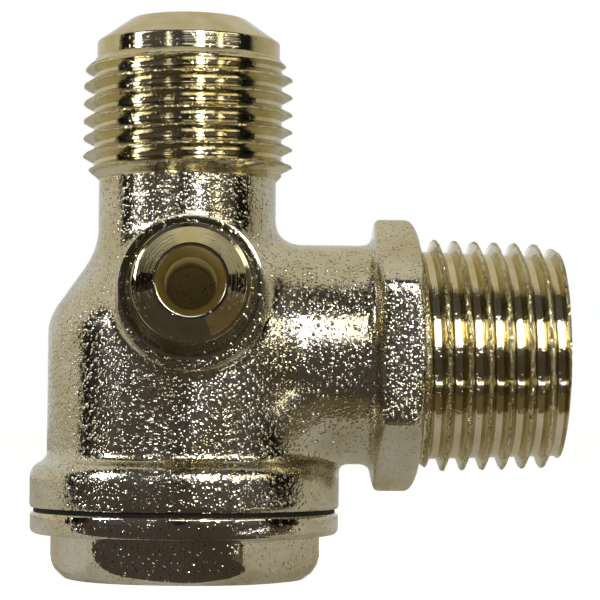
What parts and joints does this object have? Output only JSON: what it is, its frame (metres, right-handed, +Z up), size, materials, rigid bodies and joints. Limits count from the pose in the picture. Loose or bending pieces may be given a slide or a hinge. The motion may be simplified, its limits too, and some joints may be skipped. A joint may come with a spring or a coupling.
{
  "type": "non-return valve",
  "caption": "Angle non-return valve of an air compressor: threaded inlet on top, tapered outlet at the side, small unloader nozzle in front, spring-loaded poppet behind a screwed hexagon cap.",
  "frame": {"origin": "centre of the flat lower face of the hexagon cap, on the valve's main axis", "axes": "+Z up along the main axis through the inlet thread, +X along the tank port's thread, -Y along the unloader nozzle"},
  "size_m": [0.0477, 0.0363, 0.0506],
  "materials": {
    "casting": "nickel-plated cast brass, pebbled cast skin, bright turned ports",
    "cap": "nickel-plated cast brass, pebbled",
    "gasket": "matt black",
    "spring_steel": "drawn stainless wire",
    "carrier": "moulded acetal, natural",
    "soft_disc": "moulded nitrile rubber",
    "washer_steel": "stamped stainless",
    "screw_steel": "turned stainless"
  },
  "bodies": {
    "casing": {"valve_body": "casting", "bottom_cap": "cap", "cap_gasket": "gasket", "spring": "spring_steel"},
    "poppet_unit": {"poppet": "carrier", "poppet_disc": "soft_disc", "disc_washer": "washer_steel", "disc_screw": "screw_steel"}
  },
  "joints": [
    {"name": "poppet_lift", "type": "slide", "parent": "casing", "child": "poppet_unit", "axis": [0, 0, -1], "range_m": [0, 0.0035], "stiffness_N_per_m": 180, "springref_m": -0.004, "deforming": ["spring"]}
  ]
}
